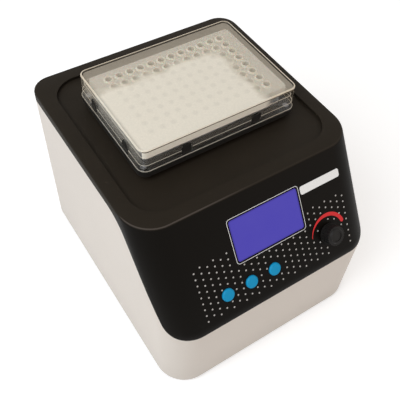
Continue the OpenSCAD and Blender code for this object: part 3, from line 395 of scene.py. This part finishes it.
def aluminium():
    """Bead-blasted and anodised aluminium: an even fine sparkle, no direction."""
    graph = Graph("aluminium", Metallic=1.0)
    blast = graph.noise(3200, detail=2, roughness=0.7)
    cloud = graph.noise(50, detail=3)
    graph.set(Base_Color=graph.mix(cloud, (0.66, 0.67, 0.68), (0.74, 0.75, 0.76)),
              Roughness=graph.between(blast, 0.3, 0.7, 0.36, 0.5))
    graph.bump(blast, 0.012 * MM)
    return graph.material


def motor_grey():
    return moulded("motor_grey", (0.085, 0.088, 0.092), 0.42, 1200, 0.03 * MM, 0.08, Metallic=0.3)


def window_blue():
    """Clear window over a lit display: an even, slightly cloudy blue glow of fine square pixels, with
    a darker edge."""
    graph = Graph("window_blue", Roughness=0.3, Specular_IOR_Level=0.1)
    _, (x, y, z) = graph.place()
    across = x - float(CREASE[0] + DISPLAY_SPOT[0])
    down = (y - float(CREASE[1])) * float(DOWN[1]) + (z - float(CREASE[2])) * float(DOWN[2])
    offset = down - float(DISPLAY_SPOT[1])
    edge_x, edge_y = (float(size) / 2 - 0.6 * MM for size in DISPLAY_SIZE)
    rim = graph.most(graph.between(abs(across), edge_x - 1 * MM, edge_x),
                     graph.between(abs(offset), edge_y - 1 * MM, edge_y))
    line_x = graph.between(abs(graph.math("PINGPONG", across, PIXEL / 2)), 0.0, 0.05 * MM)
    line_y = graph.between(abs(graph.math("PINGPONG", offset, PIXEL / 2)), 0.0, 0.05 * MM)
    cloud = graph.noise(70, detail=3)
    cloudy = graph.mix(cloud * 0.25, (0.052, 0.042, 0.345), (0.10, 0.085, 0.36))
    lit = graph.mix(line_x * line_y * 0.2 + 0.8, (0.049, 0.035, 0.28), cloudy)
    graph.set(Base_Color=(0.02, 0.015, 0.09), Emission_Strength=1.0,
              Emission_Color=graph.mix(rim * 0.55, lit, (0.03, 0.022, 0.20)))
    return graph.material


def display_frame():
    return moulded("display_frame", (0.03, 0.03, 0.035), 0.45)


def board_green():
    """Green board: a gloss resist with faint copper tracks below it."""
    graph = Graph("board_green", Coat_Weight=0.4, Coat_Roughness=0.15)
    whole = graph.add("ShaderNodeTexCoord", output="Object")
    tracks = graph.add("ShaderNodeTexBrick", {"offset": 0.37, "squash": 0.6},
                       {"Vector": whole, "Scale": 130.0, "Mortar Size": 0.03, "Color1": (0, 0, 0),
                        "Color2": (0, 0, 0), "Mortar": (1, 1, 1)}, output="Fac")
    graph.set(Base_Color=graph.mix(tracks, (0.012, 0.09, 0.035), (0.03, 0.19, 0.08)),
              Roughness=graph.between(graph.noise(900), 0.3, 0.7, 0.3, 0.42))
    graph.bump(tracks, 0.03 * MM)
    return graph.material


def switch_black():
    return moulded("switch_black", (0.018, 0.018, 0.019), 0.36, 2200, 0.012 * MM, 0.1)


def button_blue():
    """Cyan-blue key with a faint painted glow, as of a lamp below it."""
    # Painted light: the key glows by emission, with no lamp below it in the scene
    graph = Graph("button_blue", Specular_IOR_Level=0.15, Emission_Strength=0.10)
    grain = graph.noise(2400, detail=2)
    cloud = graph.noise(120, detail=3)
    blue = graph.mix(cloud, (0.003, 0.235, 0.44), (0.005, 0.275, 0.52))
    graph.set(Base_Color=blue, Emission_Color=(0.012, 0.33, 0.62),
              Roughness=graph.between(grain, 0.3, 0.7, 0.34, 0.44))
    graph.bump(grain, 0.01 * MM)
    return graph.material


def plunger_yellow():
    return moulded("plunger_yellow", (0.62, 0.50, 0.12), 0.4, 1800, 0.01 * MM)


def knob_black():
    """Soft-touch black knob, cloudy with wear."""
    graph = Graph("knob_black", Specular_IOR_Level=0.16)
    grain = graph.noise(3000, detail=2, roughness=0.7)
    wear = graph.noise(240, detail=4)
    graph.set(Base_Color=graph.mix(wear, (0.008, 0.0075, 0.007), (0.014, 0.013, 0.012)),
              Roughness=graph.between(grain, 0.3, 0.7, 0.42, 0.54))
    graph.bump(grain, 0.03 * MM)
    return graph.material


def badge_white():
    return moulded("badge_white", (0.88, 0.88, 0.87), 0.28, 1500, 0.008 * MM, 0.02, Coat_Weight=0.3)


def core_yellow():
    return moulded("core_yellow", (0.60, 0.42, 0.06), 0.35, 900, 0.04 * MM, 0.1)


def capacitor_blue():
    return moulded("capacitor_blue", (0.02, 0.035, 0.12), 0.25, 900, 0.01 * MM, 0.08)


def mat_orange():
    return moulded("mat_orange", (0.50, 0.15, 0.03), 0.6, 1100, 0.05 * MM, 0.1)


def pedestal_cream():
    return moulded("pedestal_cream", (0.58, 0.55, 0.48), 0.5, 1700, 0.03 * MM, 0.05)


def carrier_black():
    return moulded("carrier_black", (0.014, 0.013, 0.012), 0.34, 1900, 0.02 * MM, 0.1)


def clear_plastic():
    """Clear moulded plastic: light passes face on and less at a glancing view, and painted highlights
    make pale lines along thin edges. A milky film of condensation lies under the lid's top and down
    the inside of its front wall, thins out at the back and right, and thins along the left wall as
    painted shade."""
    graph = Graph("clear_plastic", Specular_IOR_Level=0.6)
    _, (x, y, z) = graph.place()
    top, foot, front = float(LID_HIGH[2]), float(LID_LOW[2]), float(LID_LOW[1])
    glance = graph.add("ShaderNodeLayerWeight", inputs={"Blend": 0.35}, output="Facing")
    body = graph.between(glance, 0.45, 1.0, 0.02, 0.5)

    # How far a point stands outside the lid's walls, in plan
    past_x = graph.math("MAXIMUM", abs(x - float(LID_MIDDLE[0])) - float(LID_HALF[0] - LID_R), 0.0)
    past_y = graph.math("MAXIMUM", abs(y - float(LID_MIDDLE[1])) - float(LID_HALF[1] - LID_R), 0.0)
    outside = graph.math("SQRT", past_x * past_x + past_y * past_y) - LID_R

    # Painted highlights: pale lines along the lid's top edge and foot, and the frame's lip and rim
    top_edge = graph.above(z, top - 0.7 * MM) * graph.above(outside, -1.1 * MM)
    foot_edge = (graph.inside(z, foot - 0.1 * MM, foot + 0.35 * MM)
                 * graph.inside(outside, -0.45 * MM, 0.1 * MM))
    lip_edge = (graph.inside(z, LIP_TOP - 0.3 * MM, LIP_TOP + 0.1 * MM)
                * graph.inside(outside, -2.3 * MM, -1.65 * MM))
    rim_edge = (graph.inside(z, RIM_TOP - 0.4 * MM, RIM_TOP + 0.1 * MM)
                * graph.above(outside, 0.6 * MM))
    lines = graph.most(top_edge * 0.85, foot_edge * 0.7, lip_edge * 0.6, rim_edge * 0.55)

    # A painted shadow: a dark line on the front wall, just under the top edge
    front_wall = graph.above(y, front + 1.9 * MM, turned=True) * graph.above(outside, -0.2 * MM)
    shadow = front_wall * graph.inside(z, top - 1.5 * MM, top - 0.65 * MM)

    # The film: its wandering limits, and fainter round marks over the wells
    wander = graph.noise(60, detail=4) * (16 * MM) - 8 * MM
    to_back = graph.between(y + wander, LID_MIDDLE[1] + 15 * MM, LID_MIDDLE[1] + 26 * MM, 1.0, 0.0)
    to_right = graph.between(x + wander, LID_MIDDLE[0] + 33 * MM, LID_MIDDLE[0] + 45 * MM, 1.0, 0.0)
    # Painted shade: the film thins along the left wall, so a darker strip shows where the wall shades
    # the top
    left_wall_shade = graph.between(x, LID_LOW[0] + 1.6 * MM, LID_LOW[0] + 4.6 * MM, 0.6, 1.0)
    wet = to_back * to_right
    from_well, in_field = graph.from_wells(x, y)
    over_well = graph.between(from_well, 1.0 * MM, 3.2 * MM, 1.0, 0.0) * in_field
    density = wet * left_wall_shade * (FILM_DENSE - FILM_THIN - over_well * 0.06) + FILM_THIN
    under_top = graph.inside(z, top - LID_WALL - 0.2 * MM, top - LID_WALL + 0.3 * MM)
    down_front = front_wall * graph.inside(z, top - FILM_DROP, top - LID_WALL)
    droplets = graph.noise(700, detail=2, roughness=0.6)
    film = graph.most(under_top * density, down_front * to_right * 0.95) * (droplets * 0.16 + 0.92)

    tint = graph.mix(wet, (0.83, 0.73, 0.58), (0.87, 0.81, 0.69))
    graph.set(Base_Color=graph.mix(shadow, tint, (0.10, 0.06, 0.02)),
              Roughness=graph.between(film, 0.0, 0.5, 0.06, 0.65),
              Alpha=graph.most(body, lines, shadow * 0.8, film))
    graph.bump(droplets * under_top * wet, 0.03 * MM)
    return graph.material


def plate_white():
    """Milky polypropylene, a little warm, with a faint flow pattern: its own pale colour round each
    well's mouth, and painted shade that greys the deck between the wells and turns their insides
    grey-olive."""
    graph = Graph("plate_white", Subsurface_Weight=0.25, Subsurface_Scale=2 * MM)
    _, (x, y, _) = graph.place()
    from_well, in_field = graph.from_wells(x, y)
    mouth = graph.between(from_well, WELL_R + 0.9 * MM, WELL_R + 1.3 * MM, 1.0, 0.0) * in_field
    painted_well_shade = in_field * graph.between(from_well, WELL_R - 0.3 * MM, WELL_R + 0.1 * MM, 1.0, 0.0)
    flow = graph.noise(1.0, detail=3, vector=graph.stretched((25, 90, 90)))
    grain = graph.noise(1800, detail=2)
    # Painted shade: the deck between the wells is greyed well below the plastic's own pale colour
    deck = graph.mix(flow, (0.48, 0.46, 0.41), (0.54, 0.52, 0.46))
    rims = graph.mix(mouth, deck, (0.86, 0.82, 0.72))
    # Painted shade inside the wells: grey-olive
    graph.set(Base_Color=graph.mix(painted_well_shade, rims, (0.40, 0.38, 0.31)),
              Roughness=graph.between(grain, 0.3, 0.7, 0.32, 0.42))
    graph.bump(grain, 0.01 * MM)
    return graph.material


def arc_red():
    return moulded("arc_red", (0.74, 0.032, 0.036), 0.5, 1600, 0.005 * MM, 0.05,
                   Specular_IOR_Level=0.2)


def print_grey():
    return moulded("print_grey", (0.46, 0.44, 0.42), 0.5, 1600, 0.005 * MM, 0.05)


FINISHES = [
    housing_white, cover_black, foot_rubber, sheet_steel, screw_steel, encoder_steel, shaft_steel,
    bearing_steel, brass, aluminium, motor_grey, window_blue, display_frame, board_green,
    switch_black, button_blue, plunger_yellow, knob_black, badge_white, core_yellow, capacitor_blue,
    mat_orange, pedestal_cream, carrier_black, clear_plastic, plate_white]
MATERIALS = {finish.__name__: finish() for finish in FINISHES}


# ---- Carried-over nodes ----

def finish_node(name, node):
    """Its slot's material, and smooth shading that stops at real edges."""
    node.data.materials.clear()
    node.data.materials.append(MATERIALS[SLOT_OF[name]])
    node.data.polygons.foreach_set("use_smooth", np.ones(len(node.data.polygons), dtype=bool))
    weld = node.modifiers.new("weld", "WELD")
    weld.merge_threshold = WELD_WITHIN
    split = node.modifiers.new("edges", "EDGE_SPLIT")
    split.split_angle = SMOOTH_UNDER


for node_name, node_object in frame["nodes"].items():
    finish_node(node_name, node_object)


# ---- Printed marks ----

def dot_spots():
    """Centres of a staggered lattice, less those under a button, the display, the knob or its arc,
    and those of a bare patch at the lower right."""
    column, row = np.meshgrid(np.arange(DOT_COLUMNS), np.arange(DOT_ROWS), indexing="ij")
    across = DOT_FIRST[0] + column * DOT_PITCH[0]
    down = DOT_FIRST[1] + row * DOT_PITCH[1] - (column % 2) * DOT_STAGGER
    spots = np.stack([across.ravel(), down.ravel()], axis=1)
    to_display = np.abs(spots - DISPLAY_SPOT) - DISPLAY_SIZE / 2
    clear = to_display.max(axis=1) > FROM_DISPLAY
    for button in BUTTON_SPOTS:
        clear &= np.linalg.norm(spots - button, axis=1) > FROM_BUTTON
    from_knob = spots - KNOB_SPOT
    distance = np.linalg.norm(from_knob, axis=1)
    turn = np.arctan2(from_knob[:, 1], from_knob[:, 0]) % (2 * math.pi)
    on_arc = (turn > ARC_FROM + ARC_TURN) & (turn < ARC_TO + ARC_TURN)
    clear &= (distance > FROM_KNOB) & ~(on_arc & (np.abs(distance - ARC_R) < FROM_ARC))
    clear &= ~((spots > BARE_PATCH[0]) & (spots < BARE_PATCH[1])).all(axis=1)
    return spots[clear]


def panel_dots():
    """Low round pads: a profile of radius and lift, turned about each spot and laid on the skin."""
    spots = dot_spots()
    turn = np.linspace(0, 2 * math.pi, DOT_SIDES, endpoint=False)
    radius = np.array([0, 1, 1, 0]) * DOT_R
    lift = np.array([-1, -1, 1, 1]) * INK
    across = spots[:, 0, None, None] + radius[:, None] * np.cos(turn)
    down = spots[:, 1, None, None] + radius[:, None] * np.sin(turn)
    points = on_skin(across, down, lift[:, None])
    surface("panel_dots", points, "base", print_grey(), wrap=(False, True))


def strip(name, middle, across_way, width, material, closed):
    """An inked line: a flat section of that width, centred on the path middle and spread along
    across_way, both in panel directions, carried along the path and laid on the skin."""
    side = np.array([-0.5, -0.5, 0.5, 0.5])
    lift = np.array([-1, 1, 1, -1]) * INK
    offset = (side * np.asarray(width)[..., None])[..., None] * across_way[:, None, :]
    path = middle[:, None, :] + offset
    points = on_skin(path[..., 0], path[..., 1], lift)
    surface(name, points, "base", material, wrap=(closed, True))


def display_outline():
    """A rounded rectangle a little outside the window: quarter circles joined by straight sides."""
    quarter = np.linspace(0, math.pi / 2, 7)
    turn = (quarter + np.arange(4)[:, None] * math.pi / 2).ravel()
    way = np.stack([np.cos(turn), np.sin(turn)], axis=1)
    corners = np.array([[1, 1], [-1, 1], [-1, -1], [1, -1]])
    to_centre = DISPLAY_SIZE / 2 + OUTLINE_GAP - OUTLINE_R
    centre = np.repeat(corners, len(quarter), axis=0) * to_centre
    strip("display_outline", DISPLAY_SPOT + centre + OUTLINE_R * way, way, OUTLINE_W,
          MATERIALS["badge_white"], closed=True)


def heat_arc():
    """A crescent round the knob: thin at the left, it swells over the top to its full width,
    w = W (thin + (1 - thin) sin^2(pi/2 min(s / growth, 1))), and ends round at the right."""
    turn = np.linspace(ARC_FROM, ARC_TO, 72)
    share = np.linspace(0, 1, len(turn))
    round_from = 1 - ARC_W / 2 / (ARC_R * (ARC_TO - ARC_FROM))
    end = np.sqrt(np.clip(1 - ((share - round_from).clip(0) / (1 - round_from)) ** 2, 0, 1))
    grown = np.sin(math.pi / 2 * np.clip(share / ARC_GROWTH, 0, 1)) ** 2
    width = ARC_W * (ARC_THIN + (1 - ARC_THIN) * grown) * end * np.clip(share / 0.02, 0, 1)
    way = np.stack([np.cos(turn), np.sin(turn)], axis=1)
    strip("heat_arc", KNOB_SPOT + ARC_R * way, way, width, arc_red(), closed=False)


panel_dots()
display_outline()
heat_arc()


# ---- Floor, light and camera ----

def floor():
    """A wide pale floor that keeps the shadow. Where it is seen it also glows a little, up to white,
    and more in the distance, where the lamps don't reach."""
    mesh = bpy.data.meshes.new("floor")
    corners = [(-1, -1, 0), (1, -1, 0), (1, 1, 0), (-1, 1, 0)]
    mesh.from_pydata([(FLOOR_HALF * x, FLOOR_HALF * y, z) for x, y, z in corners], [], [(0, 1, 2, 3)])
    graph = Graph("floor_white", Base_Color=(0.80, 0.80, 0.80), Roughness=0.9,
                  Specular_IOR_Level=0.0)
    seen = graph.most(*(graph.add("ShaderNodeLightPath", output=f"Is {kind} Ray")
                        for kind in ("Camera", "Glossy", "Transmission")))
    _, (x, y, _) = graph.place()
    away = graph.math("SQRT", x * x + y * y)
    glow = graph.between(away, 0.3, 1.5, 0.42, 0.6)
    graph.set(Emission_Color=(1.0, 1.0, 1.0), Emission_Strength=seen * glow)
    mesh.materials.append(graph.material)
    plane = bpy.data.objects.new("floor", mesh)
    bpy.context.scene.collection.objects.link(plane)


def world():
    """White to the camera, in reflections and through glass, and a softer ambient light on surfaces."""
    studio = bpy.data.worlds.new("studio")
    studio.use_nodes = True
    tree = studio.node_tree
    background = tree.nodes["Background"]
    background.inputs["Color"].default_value = (1.0, 0.985, 0.965, 1.0)
    path = tree.nodes.new("ShaderNodeLightPath")
    shown = path.outputs["Is Camera Ray"]
    for kind in ("Is Glossy Ray", "Is Transmission Ray"):
        either = tree.nodes.new("ShaderNodeMath")
        either.operation = "MAXIMUM"
        tree.links.new(shown, either.inputs[0])
        tree.links.new(path.outputs[kind], either.inputs[1])
        shown = either.outputs[0]
    strength = tree.nodes.new("ShaderNodeMapRange")
    strength.inputs["To Min"].default_value = 0.55
    strength.inputs["To Max"].default_value = 1.0
    tree.links.new(shown, strength.inputs[0])
    tree.links.new(strength.outputs[0], background.inputs["Strength"])
    bpy.context.scene.world = studio


def lamp(name, place, aim, size, watts, colour):
    data = bpy.data.lights.new(name, "AREA")
    data.shape = "DISK"
    data.size = size
    data.energy = watts
    data.color = colour
    light = bpy.data.objects.new(name, data)
    away = np.array(place, dtype=float) - np.array(aim, dtype=float)
    away /= np.linalg.norm(away)
    side = np.cross((0, 0, 1), away)
    side /= np.linalg.norm(side)
    turn = np.stack([side, np.cross(away, side), away], axis=1)
    light.matrix_world = Matrix.Translation(place) @ Matrix(turn.tolist()).to_4x4()
    bpy.context.scene.collection.objects.link(light)


def camera():
    """A view from the front left and above, rolled by a few degrees."""
    data = bpy.data.cameras.new("camera")
    data.sensor_width = 36.0
    data.lens = 53.49
    eye = np.array([-187.72 * MM, FRONT_Y - 145.47 * MM, 473.92 * MM])
    right = np.array([0.8401872, -0.5405914, 0.0429698])
    forward = np.array([0.3617372, 0.4996494, -0.7870811])
    up = np.cross(right, forward)
    turn = np.stack([right, up, -forward], axis=1)
    view = bpy.data.objects.new("camera", data)
    view.matrix_world = Matrix.Translation(eye) @ Matrix(turn.tolist()).to_4x4()
    bpy.context.scene.collection.objects.link(view)
    bpy.context.scene.camera = view


floor()
world()
AIM = (0.0, 0.0, 0.1)
lamp("key", (-0.9, -0.1, 1.1), AIM, 0.9, 9.8, (0.90, 0.95, 1.0))
lamp("fill", (0.7, -1.0, 0.7), AIM, 0.8, 1.5, (1.0, 0.64, 0.40))
camera()
bpy.context.scene.view_settings.view_transform = "Standard"
